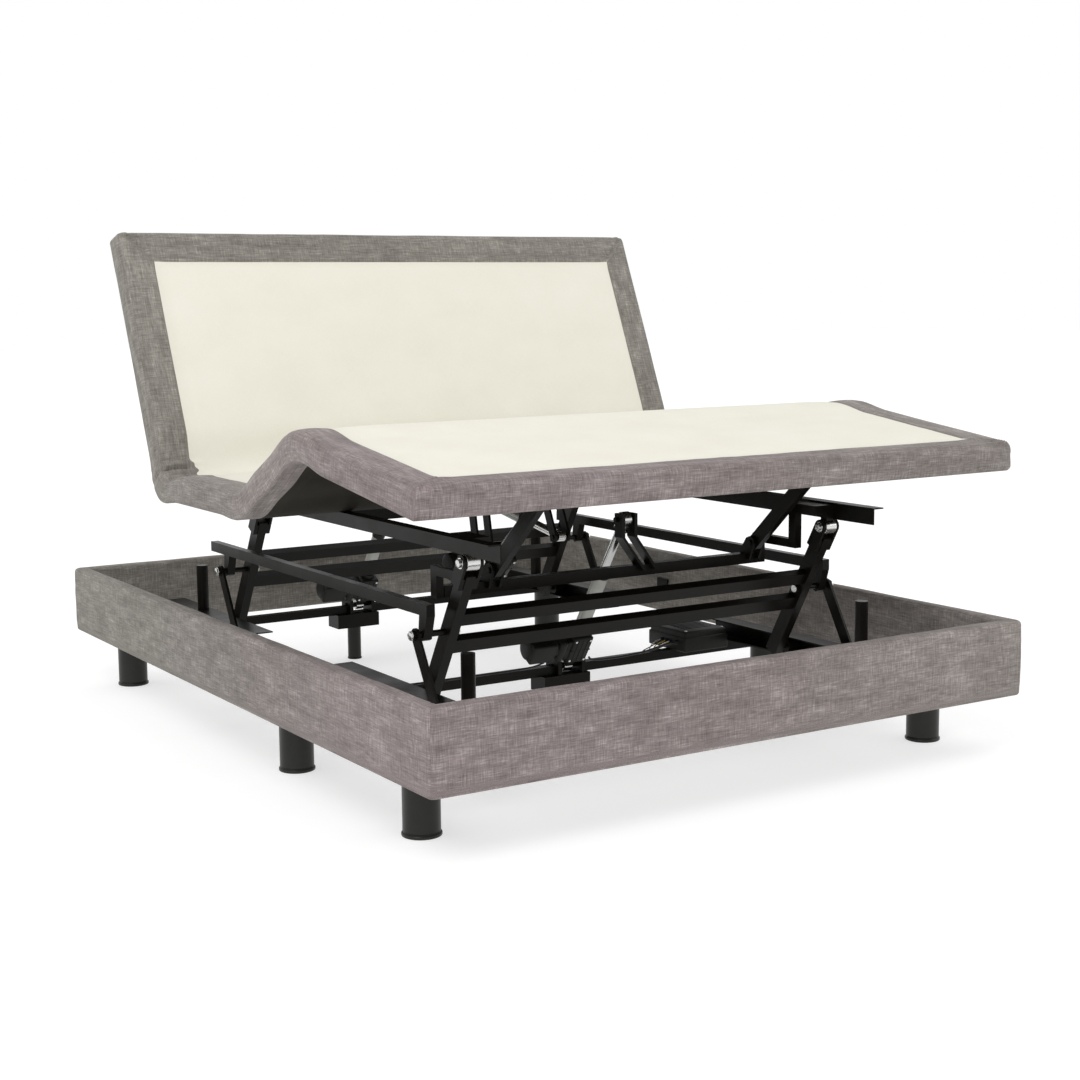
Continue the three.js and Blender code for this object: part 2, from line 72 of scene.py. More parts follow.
def make_camera():
    """The photo's own camera, solved from the corners of the rails and the deck."""
    yaw, pitch, roll = CAMERA_YAW, CAMERA_PITCH, CAMERA_ROLL
    flat = math.cos(pitch)
    forward = Vector((math.sin(yaw) * flat, math.cos(yaw) * flat, -math.sin(pitch)))
    level = Vector((math.cos(yaw), -math.sin(yaw), 0))
    above = level.cross(forward)
    right = level * math.cos(roll) + above * math.sin(roll)
    up = above * math.cos(roll) - level * math.sin(roll)
    matrix = Matrix((right, up, -forward)).transposed().to_4x4()
    matrix.translation = CAMERA_PLACE
    data = bpy.data.cameras.new("camera")
    data.lens = CAMERA_LENS
    data.clip_end = 60
    camera = bpy.data.objects.new("camera", data)
    camera.matrix_world = matrix
    bpy.context.scene.collection.objects.link(camera)
    bpy.context.scene.camera = camera


def area_light(name, place, target, size, power):
    data = bpy.data.lights.new(name, "AREA")
    data.shape = "DISK"
    data.size = size
    data.energy = power
    light = bpy.data.objects.new(name, data)
    light.location = place
    light.rotation_euler = (Vector(target) - Vector(place)).to_track_quat("-Z", "Y").to_euler()
    bpy.context.scene.collection.objects.link(light)


def make_studio():
    """A white studio: two soft lights and a floor that glows a little, as the photo's cut-out ground does."""
    scene = bpy.context.scene
    scene.view_settings.view_transform = "Standard"
    world = bpy.data.worlds.new("studio")
    world.use_nodes = True
    background = world.node_tree.nodes["Background"]
    background.inputs["Color"].default_value = (1, 1, 1, 1)
    background.inputs["Strength"].default_value = 1.0
    scene.world = world
    area_light("key", (-3.2, -2.6, 4.2), (0, 0, 0.4), 2.6, 70)
    area_light("fill", (3.6, -3.4, 2.6), (0.2, -0.2, 0.4), 2.4, 26)
    floor = bpy.data.meshes.new("floor")
    corners = [(x * FLOOR_REACH, y * FLOOR_REACH, 0) for x, y in ((-1, -1), (1, -1), (1, 1), (-1, 1))]
    floor.from_pydata(corners, [], [(0, 1, 2, 3)])
    floor_object = bpy.data.objects.new("floor", floor)
    scene.collection.objects.link(floor_object)
    material = bpy.data.materials.new("pale_floor")
    material.use_nodes = True
    shader = material.node_tree.nodes["Principled BSDF"]
    shader.inputs["Base Color"].default_value = (0.45, 0.45, 0.45, 1)
    shader.inputs["Roughness"].default_value = 0.9
    shader.inputs["Emission Color"].default_value = (1, 1, 1, 1)
    shader.inputs["Emission Strength"].default_value = 0.6
    floor.materials.append(material)


# ------------------------------------------------------------------ material helpers
def new_material(name):
    material = bpy.data.materials.new(name)
    material.use_nodes = True
    return material, material.node_tree, material.node_tree.nodes["Principled BSDF"]


def node(tree, kind, inputs=None, **settings):
    """A shader node. inputs are plain values or sockets to link from."""
    made = tree.nodes.new("ShaderNode" + kind)
    for key, value in settings.items():
        setattr(made, key, value)
    for key, value in (inputs or {}).items():
        if isinstance(value, bpy.types.NodeSocket):
            tree.links.new(value, made.inputs[key])
        else:
            made.inputs[key].default_value = value
    return made


def streaks(tree, vector, length, width, seed=0.0, detail=2.0):
    """Noise drawn out along the first direction of a vector; length and width are in metres."""
    placed = node(tree, "Mapping", {
        "Vector": vector, "Location": (seed, seed * 0.7, 0), "Scale": (1 / length, 1 / width, 0)})
    return node(tree, "TexNoise", {
        "Vector": placed.outputs[0], "Scale": 1.0, "Detail": detail, "Roughness": 0.55}).outputs["Fac"]


def weighted(tree, terms):
    """0.5 + the sum of weight * (value - 0.5)."""
    total = 0.5 - 0.5 * sum(weight for _, weight in terms)
    for value, weight in terms:
        step = node(tree, "Math", {0: value, 1: weight}, operation="MULTIPLY_ADD")
        if isinstance(total, float):
            step.inputs[2].default_value = total
        else:
            tree.links.new(total, step.inputs[2])
        total = step.outputs[0]
    return total


def ramp(tree, value, *stops):
    made = node(tree, "ValToRGB", {"Fac": value})
    elements = made.color_ramp.elements
    while len(elements) < len(stops):
        elements.new(0.5)
    for element, (place, color) in zip(elements, stops):
        element.position = place
        element.color = (*color, 1)
    return made.outputs["Color"]


def mix_colors(tree, share, a, b):
    return node(tree, "MixRGB", {"Fac": share, "Color1": a, "Color2": b}).outputs[0]


def bump(tree, shader, height, strength, distance):
    """Raises the surface by height; distance is in metres."""
    made = node(tree, "Bump", {"Height": height, "Strength": strength, "Distance": distance})
    tree.links.new(made.outputs[0], shader.inputs["Normal"])


def shade(tree, shader, color, roughness, **sockets):
    """Sets or links colour and roughness, and sets other sockets, whose names have _ for each space."""
    for name, value in (("Base Color", color), ("Roughness", roughness)):
        if isinstance(value, bpy.types.NodeSocket):
            tree.links.new(value, shader.inputs[name])
        else:
            shader.inputs[name].default_value = value
    for name, value in sockets.items():
        shader.inputs[name.replace("_", " ")].default_value = value


def srgb(*values):
    """Linear values of a colour given as 0 to 255."""
    return tuple(((v / 255 + 0.055) / 1.055) ** 2.4 if v > 10 else v / 255 / 12.92 for v in values)


# ------------------------------------------------------------------ materials
# Cloth is drawn in the "cloth" attribute: x and y run along the two yarns in metres, and z says how far
# the grey is tinted towards lilac by painted warm light.
def cloth_directions(tree):
    """The cloth attribute for the weft, the same with x and y exchanged for the warp, and the share of painted
    warm light.
    """
    cloth = node(tree, "Attribute", attribute_name="cloth").outputs["Vector"]
    split = node(tree, "SeparateXYZ", {"Vector": cloth})
    crossed = node(tree, "CombineXYZ", {"X": split.outputs["Y"], "Y": split.outputs["X"]}).outputs[0]
    return cloth, crossed, split.outputs["Z"]


def tweed_material():
    material, tree, shader = new_material("tweed")
    cloth, crossed, painted_warm_light_amount = cloth_directions(tree)
    weft = streaks(tree, cloth, 0.022, 0.0017)
    warp = streaks(tree, crossed, 0.026, 0.0017, seed=3.1)
    weft_slub = streaks(tree, cloth, 0.060, 0.0042, seed=7.7)
    warp_slub = streaks(tree, crossed, 0.050, 0.0046, seed=5.3)
    blotch = streaks(tree, cloth, 0.085, 0.026, seed=1.9, detail=3)
    cloud = streaks(tree, cloth, 0.40, 0.25, seed=9.4, detail=1)
    value = weighted(tree, [
        (weft, 0.75), (warp, 0.8), (weft_slub, 0.6), (warp_slub, 0.45), (blotch, 0.7), (cloud, 0.35)])
    grey = ramp(tree, value, (0.0, srgb(82, 78, 72)), (0.38, srgb(113, 109, 103)),
                (0.62, srgb(133, 129, 122)), (1.0, srgb(174, 170, 163)))
    # painted light: the tweed's colours as tinted lilac by warm light, mixed in by the share of painted warm light
    warm_lit_tweed = ramp(tree, value, (0.0, srgb(84, 75, 74)), (0.38, srgb(117, 107, 106)),
                 (0.62, srgb(137, 127, 126)), (1.0, srgb(179, 170, 168)))
    color = mix_colors(tree, painted_warm_light_amount, grey, warm_lit_tweed)
    shade(tree, shader, color, 0.92, Sheen_Weight=0.08, Sheen_Roughness=0.5, Specular_IOR_Level=0.2)
    height = weighted(tree, [(weft, 1.0), (warp, 1.0), (weft_slub, 0.6), (warp_slub, 0.6)])
    bump(tree, shader, height, 0.55, 0.0011)
    return material


def cream_material():
    material, tree, shader = new_material("cream_cloth")
    cloth, crossed, _ = cloth_directions(tree)
    weft = streaks(tree, cloth, 0.012, 0.0012)
    warp = streaks(tree, crossed, 0.012, 0.0012, seed=2.2)
    cloud = streaks(tree, cloth, 0.16, 0.12, seed=4.0, detail=3)
    value = weighted(tree, [(weft, 0.5), (warp, 0.5), (cloud, 0.6)])
    color = ramp(tree, value, (0.15, srgb(212, 209, 196)), (0.5, srgb(218, 215, 203)),
                 (0.85, srgb(223, 221, 211)))
    shade(tree, shader, color, 0.88, Sheen_Weight=0.05, Specular_IOR_Level=0.25)
    bump(tree, shader, weighted(tree, [(weft, 1.0), (warp, 1.0)]), 0.3, 0.0006)
    return material


def lining_material():
    material, tree, shader = new_material("dark_lining")
    cloth, _, _ = cloth_directions(tree)
    fibre = streaks(tree, cloth, 0.004, 0.0022, detail=4)
    cloud = streaks(tree, cloth, 0.12, 0.09, seed=6.0, detail=3)
    value = weighted(tree, [(fibre, 1.0), (cloud, 0.8)])
    color = ramp(tree, value, (0.2, srgb(30, 28, 23)), (0.8, srgb(50, 47, 39)))
    shade(tree, shader, color, 0.85, Specular_IOR_Level=0.15)
    bump(tree, shader, fibre, 0.4, 0.0006)
    return material


def hard_material(name, dark, light, roughness, grain, relief, metallic=0.0, specular=0.4, wear=None):
    """Paint, plastic or metal with a fine grain and slow blotches; wear is the colour of rubbed spots."""
    material, tree, shader = new_material(name)
    place = node(tree, "TexCoord").outputs["Object"]
    fine = node(tree, "TexNoise", {"Vector": place, "Scale": 1 / grain, "Detail": 3.0, "Roughness": 0.6})
    slow = node(tree, "TexNoise", {"Vector": place, "Scale": 9.0, "Detail": 4.0, "Roughness": 0.6})
    value = weighted(tree, [(fine.outputs["Fac"], 0.7), (slow.outputs["Fac"], 1.2)])
    color = ramp(tree, value, (0.25, dark), (0.75, light))
    if wear:
        scratch = node(tree, "TexNoise", {"Vector": place, "Scale": 55.0, "Detail": 6.0, "Roughness": 0.75})
        rubbed = ramp(tree, scratch.outputs["Fac"], (0.66, (0, 0, 0)), (0.74, (1, 1, 1)))
        color = mix_colors(tree, rubbed, color, (*wear, 1))
    low, high = roughness
    gloss = node(tree, "MapRange", {"Value": slow.outputs["Fac"], "From Min": 0.3, "From Max": 0.7,
                                    "To Min": low, "To Max": high})
    shade(tree, shader, color, gloss.outputs["Result"], Metallic=metallic, Specular_IOR_Level=specular)
    bump(tree, shader, fine.outputs["Fac"], 0.35, relief)
    return material


def make_materials():
    return {
        "tweed": tweed_material(),
        "cream": cream_material(),
        "lining": lining_material(),
        "black_steel": hard_material("black_steel", (0.0030, 0.0026, 0.0020), (0.0075, 0.0064, 0.0048),
                                     (0.28, 0.42), 0.0011, 0.00025, specular=0.13,
                                     wear=(0.020, 0.017, 0.012)),
        "leg_plastic": hard_material("leg_plastic", srgb(28, 28, 26), srgb(38, 38, 35), (0.30, 0.42),
                                     0.0009, 0.0001, specular=0.25),
        "motor_plastic": hard_material("motor_plastic", srgb(20, 20, 18), srgb(31, 31, 28), (0.42, 0.6),
                                       0.0007, 0.0003, specular=0.2),
        "grey_tube": hard_material("grey_tube", srgb(150, 150, 144), srgb(172, 172, 166), (0.35, 0.5),
                                   0.0012, 0.0001, metallic=0.55),
        "zinc": hard_material("zinc", (0.55, 0.55, 0.54), (0.72, 0.72, 0.70), (0.16, 0.3),
                              0.0016, 0.00006, metallic=1.0),
        "rubber": hard_material("rubber", srgb(24, 24, 23), srgb(34, 34, 33), (0.6, 0.75), 0.0012, 0.0003),
        "cable": hard_material("cable", srgb(20, 20, 20), srgb(30, 30, 30), (0.35, 0.5), 0.002, 0.0001),
        "wire_white": hard_material("wire_white", srgb(214, 211, 200), srgb(232, 229, 220), (0.4, 0.5),
                                    0.002, 0.0001),
        "wire_yellow": hard_material("wire_yellow", srgb(196, 158, 52), srgb(214, 178, 70), (0.4, 0.5),
                                     0.002, 0.0001),
    }


make_camera()
make_studio()
MATERIAL = make_materials()


# ------------------------------------------------------------------ mesh helpers
def add_mesh(name, points, faces, materials, face_material=None, sharp_angle=60):
    mesh = bpy.data.meshes.new(name)
    mesh.from_pydata([tuple(p) for p in points], [], [tuple(f) for f in faces])
    for material in materials:
        mesh.materials.append(MATERIAL[material])
    mesh.shade_smooth()
    if face_material is not None:
        mesh.polygons.foreach_set("material_index", np.asarray(face_material, np.int32))
    mesh.validate()
    mesh.set_sharp_from_angle(angle=math.radians(sharp_angle))
    made = bpy.data.objects.new(name, mesh)
    bpy.context.scene.collection.objects.link(made)
    return made


def set_cloth(piece, cloth):
    """Stores each point's cloth coordinates, which the cloth materials read."""
    attribute = piece.data.attributes.new("cloth", "FLOAT_VECTOR", "POINT")
    attribute.data.foreach_set("vector", np.asarray(cloth, np.float32).ravel())


def smoothstep(value):
    t = np.clip(value, 0, 1)
    return t * t * (3 - 2 * t)


def hill(distance, width):
    """1 at distance 0, falling smoothly to nothing."""
    return np.exp(-(distance / width) ** 2)


def rough(points, sx, sy, sz=1.0, seed=0.0):
    """Smooth noise from about -1 to 1 at each point, with its own scale along each axis."""
    scaled = np.asarray(points, float) * (sx, sy, sz) + seed
    return np.array([noise.noise(Vector(p)) for p in scaled])


def lines(*stops):
    """Grid lines from the first stop's place to the last. Each stop is (place, spacing until the next)."""
    made = [stops[0][0]]
    for (low, spacing), (high, _) in zip(stops, stops[1:]):
        count = max(1, round((high - low) / spacing))
        made.extend(low + (high - low) * (i + 1) / count for i in range(count))
    return made


def box_grid(xs, ys, zs):
    """Points and quads of a box's surface, with a grid line at each given value, and each quad's side."""
    index, points, quads, sides = {}, [], [], []
    last = (len(xs) - 1, len(ys) - 1, len(zs) - 1)

    def vertex(*key):
        if key not in index:
            index[key] = len(points)
            points.append((xs[key[0]], ys[key[1]], zs[key[2]]))
        return index[key]

    for axis, side in ((2, "z"), (1, "y"), (0, "x")):
        a, b = [k for k in range(3) if k != axis]
        for end in (0, last[axis]):
            for i in range(last[a]):
                for j in range(last[b]):
                    corners = []
                    for da, db in ((0, 0), (1, 0), (1, 1), (0, 1)):
                        key = [0, 0, 0]
                        key[axis], key[a], key[b] = end, i + da, j + db
                        corners.append(vertex(*key))
                    outward = (end > 0) != (axis == 1)
                    quads.append(corners if outward else corners[::-1])
                    sides.append(side + ("1" if end else "0"))
    return np.array(points), quads, np.array(sides)


def ring_faces(rows, sides, closed=False):
    """Quads between rows of points, each a ring of sides; closed joins the last row to the first."""
    faces = []
    for row in range(rows if closed else rows - 1):
        here, there = row * sides, (row + 1) % rows * sides
        for i in range(sides):
            j = (i + 1) % sides
            faces.append((here + i, here + j, there + j, there + i))
    return faces


def turned(points, pivot, angle):
    """Points turned about the X axis through pivot. angle is one number or one for each point."""
    y, z = points[:, 1] - pivot[1], points[:, 2] - pivot[2]
    cos, sin = np.cos(angle), np.sin(angle)
    moved = points.copy()
    moved[:, 1] = pivot[1] + y * cos - z * sin
    moved[:, 2] = pivot[2] + y * sin + z * cos
    return moved


# ------------------------------------------------------------------ upholstered deck
seat_low, seat_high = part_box("seat_panel")
HALF_WIDTH = seat_high.x
UNDERSIDE, TOP = seat_low.z, seat_high.z
HEAD_HINGE = np.array(JOINTS["head_tilt"]["pos_m"])
THIGH_HINGE = np.array(JOINTS["thigh_tilt"]["pos_m"])
KNEE = np.array(JOINTS["knee"]["pos_m"])
HEAD_ANGLE = -math.radians(JOINTS["head_tilt"]["range_deg"][0])
THIGH_ANGLE = math.radians(JOINTS["thigh_tilt"]["range_deg"][0])
KNEE_ANGLE = THIGH_ANGLE * COUPLINGS["knee"]["ratio"]
HEAD_LENGTH, THIGH_LENGTH, LEG_LENGTH = 0.668, 0.337, 0.532
HEAD_END = HEAD_HINGE[1] + HEAD_LENGTH
KNEE_FLAT = THIGH_HINGE[1] - THIGH_LENGTH
FOOT_END = KNEE_FLAT - LEG_LENGTH
SEAT_SEAM = (HEAD_HINGE[1] + THIGH_HINGE[1]) / 2
THIGH_SEAM = (THIGH_HINGE[1] + KNEE_FLAT) / 2
SIDE_BORDER, HEAD_BORDER, FOOT_BORDER = 0.082, 0.083, 0.062
TURN_UNDER = 0.055         # how far the grey cloth is carried round onto the underside
TOP_RADIUS, BOTTOM_RADIUS = 0.017, 0.008
HEAD_BEND, THIGH_BEND, KNEE_BEND = 0.088, 0.110, 0.130     # how far each bend reaches from its hinge
HEAD_CLOSE, THIGH_CLOSE, KNEE_CLOSE = 0.085, 0.12, 0.135    # how far from its hinge a cover's grid is fine
FINE, COARSE = 0.0035, 0.035


def painted_warm_light_share(x, y):
    """Painted light: the cloth is tinted a little more lilac towards the foot end's left corner, as by warm light
    falling there.
    """
    return np.clip(1.15 - np.hypot((x + HALF_WIDTH) * 0.62, y + 1.0) / 1.25, 0, 1)


def rounded(points, low, high, round_low_end, round_high_end):
    """Moves a box grid's points onto the box with round edges. Returns the points and their normals."""
    height = (points[:, 2] - low[2]) / (high[2] - low[2])
    radius = BOTTOM_RADIUS + (TOP_RADIUS - BOTTOM_RADIUS) * smoothstep((height - 0.15) / 0.5)
    core = points.copy()
    core[:, 0] = np.clip(points[:, 0], low[0] + radius, high[0] - radius)
    near = low[1] + radius if round_low_end else np.full(len(points), low[1])
    far = high[1] - radius if round_high_end else np.full(len(points), high[1])
    core[:, 1] = np.clip(points[:, 1], near, far)
    core[:, 2] = np.clip(points[:, 2], low[2] + radius, high[2] - radius)
    out = points - core
    length = np.linalg.norm(out, axis=1)
    normal = np.where(length[:, None] > 1e-9, out / np.maximum(length, 1e-9)[:, None], 0)
    return core + normal * radius[:, None], normal


def creases(across, hinge_distance, folds):
    """Bunched cloth beside a hinge. A fold is (place along the bed, height, width, reach from the side)."""
    total = np.zeros(len(across))
    for place, height, width, reach in folds:
        bend = 0.010 * np.sin(across * 37 + place * 900) * np.clip(across / 0.09, 0, 1)
        total += height * hill(hinge_distance - place - bend, width) * smoothstep(1.2 - across / reach)
    return total


def distance_to_ends(y, ends):
    """How far each y is from the nearest free end of the deck; far, where the cover has none."""
    return np.min([np.abs(end - y) for end in ends] or [np.full(len(y), 9.0)], axis=0)


def cloth_relief(points, normal, ends, border, folds):
    """How far the padded cloth stands proud of its board at each point, along the outward normal."""
    x, y, z = points.T
    from_side = HALF_WIDTH - np.abs(x)
    from_end = distance_to_ends(y, ends)
    upward = np.clip(normal[:, 2], 0, 1)
    outward = 1 - np.abs(normal[:, 2])
    inside = np.minimum(from_side - SIDE_BORDER, from_end - border)
    across = np.clip(-inside / SIDE_BORDER, 0, 1)
    # the top: a padded border, a crowned cream field, the seam's groove between them and uneven filling
    top = 0.0024 * np.sin(np.pi * across) + 0.0022 * np.clip(inside / 0.09, 0, 1)
    top -= 0.0022 * hill(inside, 0.0026)
    top += 0.0007 * rough(points, 22, 22, 0, 4) * np.clip(1 - np.abs(inside) / 0.03, 0, 1)
    top += 0.0009 * rough(points, 6, 5, 0, 8)
    # pleats folded along each corner's mitre
    mitre = (from_side / SIDE_BORDER - from_end / border) * SIDE_BORDER * 0.7
    in_corner = (from_side < SIDE_BORDER + 0.001) & (from_end < border + 0.001)
    pleats = 0.0030 * hill(mitre, 0.0028) - 0.0024 * hill(mitre - 0.0065, 0.0026)
    pleats += 0.0030 * hill(mitre - 0.0135, 0.0040) - 0.0016 * hill(mitre - 0.0220, 0.0035)
    top += np.where(in_corner, pleats * smoothstep(from_side / 0.02), 0)
    # the side walls bulge a little and ripple
    wall = 0.0018 * np.sin(np.pi * np.clip((z - UNDERSIDE) / (TOP - UNDERSIDE), 0, 1))
    wall += 0.0016 * rough(points, 5, 5, 38, 2) + 0.0008 * rough(points, 14, 14, 60, 6)
    relief = top * upward + wall * outward
    # bunched cloth at the hinges, weaker on the walls and weakest low down on them
    edge = smoothstep((from_side + 0.004) / 0.02)
    low_down = 0.25 + 0.75 * smoothstep((z - UNDERSIDE) / 0.05 - 0.3)
    creased = np.maximum(upward * edge, 0.6 * outward * low_down)
    for hinge, shapes in folds:
        relief += creases(np.maximum(from_side, 0), y - hinge, shapes) * creased
    return np.where(normal[:, 2] < -0.2, 0, relief)


def bent(points, pivot, angle, base_heading, reach):
    turn = angle / 2
    heading = np.array([0, base_heading * math.cos(turn), base_heading * math.sin(turn)])
    start, end = pivot - heading * reach, pivot + heading * reach
    low, high = np.zeros(len(points)), np.ones(len(points))
    for _ in range(36):
        share = (low + high) / 2
        moved = turned(points, pivot, share * angle)
        reached = smoothstep(((moved - start) @ heading) / (2 * reach))
        low = np.where(reached > share, share, low)
        high = np.where(reached > share, high, share)
    return turned(points, pivot, (low + high) / 2 * angle), start, end


def bent_from(points, pivot, angle, first_angle, reach):
    """bent(), for points whose straight stretch already lies at first_angle and runs towards -Y."""
    level = turned(points, pivot, -first_angle)
    moved, start, end = bent(level, pivot, angle, -1, reach)
    ends = turned(np.array([start, end]), pivot, first_angle)
    return turned(moved, pivot, first_angle), ends[0], ends[1]


def scallop(points, hinge, waves):
    """Lets the seam beside a hinge wander: each wave is (place along the bed, shift inwards, width)."""
    from_seam = HALF_WIDTH - SIDE_BORDER - np.abs(points[:, 0])
    shift = sum(amount * hill(points[:, 1] - hinge - place, width) for place, amount, width in waves)
    on_top = smoothstep((points[:, 2] - UNDERSIDE) / 0.03 - 0.5)
    moved = points.copy()
    moved[:, 0] -= np.sign(points[:, 0]) * shift * hill(from_seam, 0.04) * on_top
    return moved


def deck_cover(y_lines, ends, border, folds, waves=()):
    """A flat, padded and upholstered slab of the deck; it is bent into place afterwards."""
    xs = lines((-HALF_WIDTH, FINE), (-HALF_WIDTH + SIDE_BORDER, COARSE), (HALF_WIDTH - SIDE_BORDER, FINE),
               (HALF_WIDTH, 0))
    zs = lines((UNDERSIDE, 0.0035), (UNDERSIDE + 0.014, 0.0075), (TOP - 0.021, 0.0035), (TOP, 0))
    points, quads, sides = box_grid(xs, y_lines, zs)
    low, high = (-HALF_WIDTH, y_lines[0], UNDERSIDE), (HALF_WIDTH, y_lines[-1], TOP)
    real_ends = (y_lines[0] in ends, y_lines[-1] in ends)
    shaped, normal = rounded(points, low, high, *real_ends)
    shaped += normal * cloth_relief(shaped, normal, ends, border, folds)[:, None]
    shaped = scallop(shaped, folds[0][0], waves)
    drop = TOP - shaped[:, 2]
    on_side = (points[:, 0] <= low[0]) | (points[:, 0] >= high[0])
    on_end = ((points[:, 1] <= low[1]) & real_ends[0]) | ((points[:, 1] >= high[1]) & real_ends[1])
    u = shaped[:, 0] + np.where(on_side, np.sign(shaped[:, 0]) * drop, 0)
    v = shaped[:, 1] + np.where(on_end & ~on_side, np.sign(shaped[:, 1]) * drop, 0)
    to_mitre = SIDE_BORDER * np.minimum(distance_to_ends(points[:, 1], ends) / border, 1)
    along_side = HALF_WIDTH - np.abs(points[:, 0]) < to_mitre - FINE / 2
    u, v = np.where(along_side, v, u), np.where(along_side, u, v)   # the side strips are cut lengthways
    # z is the share of painted warm light, a lilac tint towards the foot end's left corner
    cloth = np.stack([u, v, painted_warm_light_share(shaped[:, 0], shaped[:, 1])], 1)
    middle = np.array([points[q].mean(0) for q in quads])
    from_side = HALF_WIDTH - np.abs(middle[:, 0])
    from_end = distance_to_ends(middle[:, 1], ends)
    cream = (sides == "z1") & (from_side > SIDE_BORDER) & (from_end > border)
    lining = (sides == "z0") & (from_side > TURN_UNDER) & (from_end > TURN_UNDER)
    return shaped, quads, np.where(cream, 1, np.where(lining, 2, 0)), cloth


# Folds of cloth beside each hinge: place along the bed from the hinge, height, width and reach in metres.
HEAD_FOLDS = [
    (-0.060, 0.0014, 0.016, 0.10), (-0.030, -0.0012, 0.006, 0.08), (-0.012, 0.0030, 0.010, 0.11),
    (0.004, -0.0014, 0.0040, 0.080), (0.017, 0.0034, 0.0060, 0.095), (0.0285, -0.0110, 0.0032, 0.080),
    (0.041, 0.0058, 0.0075, 0.110), (0.056, -0.0030, 0.0036, 0.085), (0.068, 0.0026, 0.0090, 0.10)]
THIGH_FOLDS = [
    (-0.034, 0.0012, 0.008, 0.07), (-0.016, -0.0016, 0.005, 0.06), (-0.002, 0.0020, 0.006, 0.08),
    (0.016, -0.0014, 0.006, 0.06), (0.032, 0.0012, 0.008, 0.07)]
KNEE_FOLDS = [(-0.030, -0.0008, 0.010, 0.05), (0.0, -0.0010, 0.012, 0.05), (0.030, -0.0008, 0.010, 0.05)]

# The seam between the grey and the cream wanders there too: place, shift inwards and width.
HEAD_WAVES = [(-0.095, 0.020, 0.045), (-0.030, 0.026, 0.030), (0.024, 0.018, 0.014), (0.047, 0.009, 0.010)]
THIGH_WAVES = [(-0.03, 0.003, 0.03), (0.03, 0.006, 0.04)]


def finish_cover(name, cover, bend, replaced, *bodies):
    """Makes a cover from its flat form and its bend; the bodies that it joins are not used."""
    _, quads, face_material, cloth = cover
    points, start, end = bend
    piece = add_mesh(name, points, quads, ["tweed", "cream", "lining"], face_material)
    set_cloth(piece, cloth)
    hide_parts(*replaced)
    tuple(start)
    tuple(end)
    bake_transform(piece)


def make_head_cover():
    hinge = HEAD_HINGE[1]
    y_lines = lines((SEAT_SEAM, 0.03), (hinge - HEAD_CLOSE, 0.0045), (hinge + HEAD_CLOSE, 0.02),
                    (HEAD_END - HEAD_BORDER, FINE), (HEAD_END, 0))
    cover = deck_cover(y_lines, [y_lines[-1]], HEAD_BORDER, [(hinge, HEAD_FOLDS)], HEAD_WAVES)
    bend = bent(cover[0], HEAD_HINGE, HEAD_ANGLE, 1, HEAD_BEND)
    finish_cover("head_cover", cover, bend, ["head_panel", "seat_panel"], "deck_frame", "head_section")


def make_thigh_cover():
    hinge = THIGH_HINGE[1]
    y_lines = lines((THIGH_SEAM, 0.02), (hinge - THIGH_CLOSE, 0.0055), (hinge + THIGH_CLOSE, 0.02),
                    (SEAT_SEAM, 0))
    cover = deck_cover(y_lines, [], FOOT_BORDER, [(hinge, THIGH_FOLDS)], THIGH_WAVES)
    bend = bent(cover[0], THIGH_HINGE, THIGH_ANGLE, -1, THIGH_BEND)
    finish_cover("thigh_cover", cover, bend, ["thigh_panel"], "deck_frame", "thigh_section")


def make_leg_cover():
    y_lines = lines((FOOT_END, FINE), (FOOT_END + FOOT_BORDER, 0.02), (KNEE_FLAT - KNEE_CLOSE, 0.0065),
                    (KNEE_FLAT + KNEE_CLOSE, 0.02), (THIGH_SEAM, 0))
    cover = deck_cover(y_lines, [y_lines[0]], FOOT_BORDER, [(KNEE_FLAT, KNEE_FOLDS)])
    hung = turned(cover[0], THIGH_HINGE, THIGH_ANGLE)
    bend = bent_from(hung, KNEE, KNEE_ANGLE, THIGH_ANGLE, KNEE_BEND)
    finish_cover("leg_cover", cover, bend, ["leg_panel"], "thigh_section", "leg_section")


make_head_cover()
make_thigh_cover()
make_leg_cover()


# ------------------------------------------------------------------ upholstered base rails
RAIL_WALL = 0.036
CORNER_RADIUS = 0.015
CORNER_CLOSE = 0.12        # how far from its corners a rail's grid is fine
RAILS_LOW, RAILS_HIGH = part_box("base_rail_left")[0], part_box("base_rail_right")[1]
RAIL_BOTTOM, RAIL_TOP = RAILS_LOW[2], RAILS_HIGH[2]


def rail_section():
    """The rounded outline of a rail: (depth in from the outer face, height), and the distance along it."""
    corners = [(0, RAIL_BOTTOM, 0.005, 180), (RAIL_WALL, RAIL_BOTTOM, 0.005, 270),
               (RAIL_WALL, RAIL_TOP, 0.008, 0), (0, RAIL_TOP, 0.009, 90)]
    points = []
    for depth, height, radius, first in corners:
        middle = (depth + (radius if depth == 0 else -radius),
                  height + (radius if height == RAIL_BOTTOM else -radius))
        for step in range(5):
            turn = math.radians(first + step * 22.5)
            points.append((middle[0] + radius * math.cos(turn), middle[1] + radius * math.sin(turn)))
    full = []
    for (a0, h0), (a1, h1) in zip(points, points[1:] + points[:1]):
        count = max(1, round(math.hypot(a1 - a0, h1 - h0) / 0.012))
        full.extend((a0 + (a1 - a0) * i / count, h0 + (h1 - h0) * i / count) for i in range(count))
    steps = [math.dist(p, q) for p, q in zip(full, full[1:])]
    return full, np.concatenate([[0], np.cumsum(steps)])


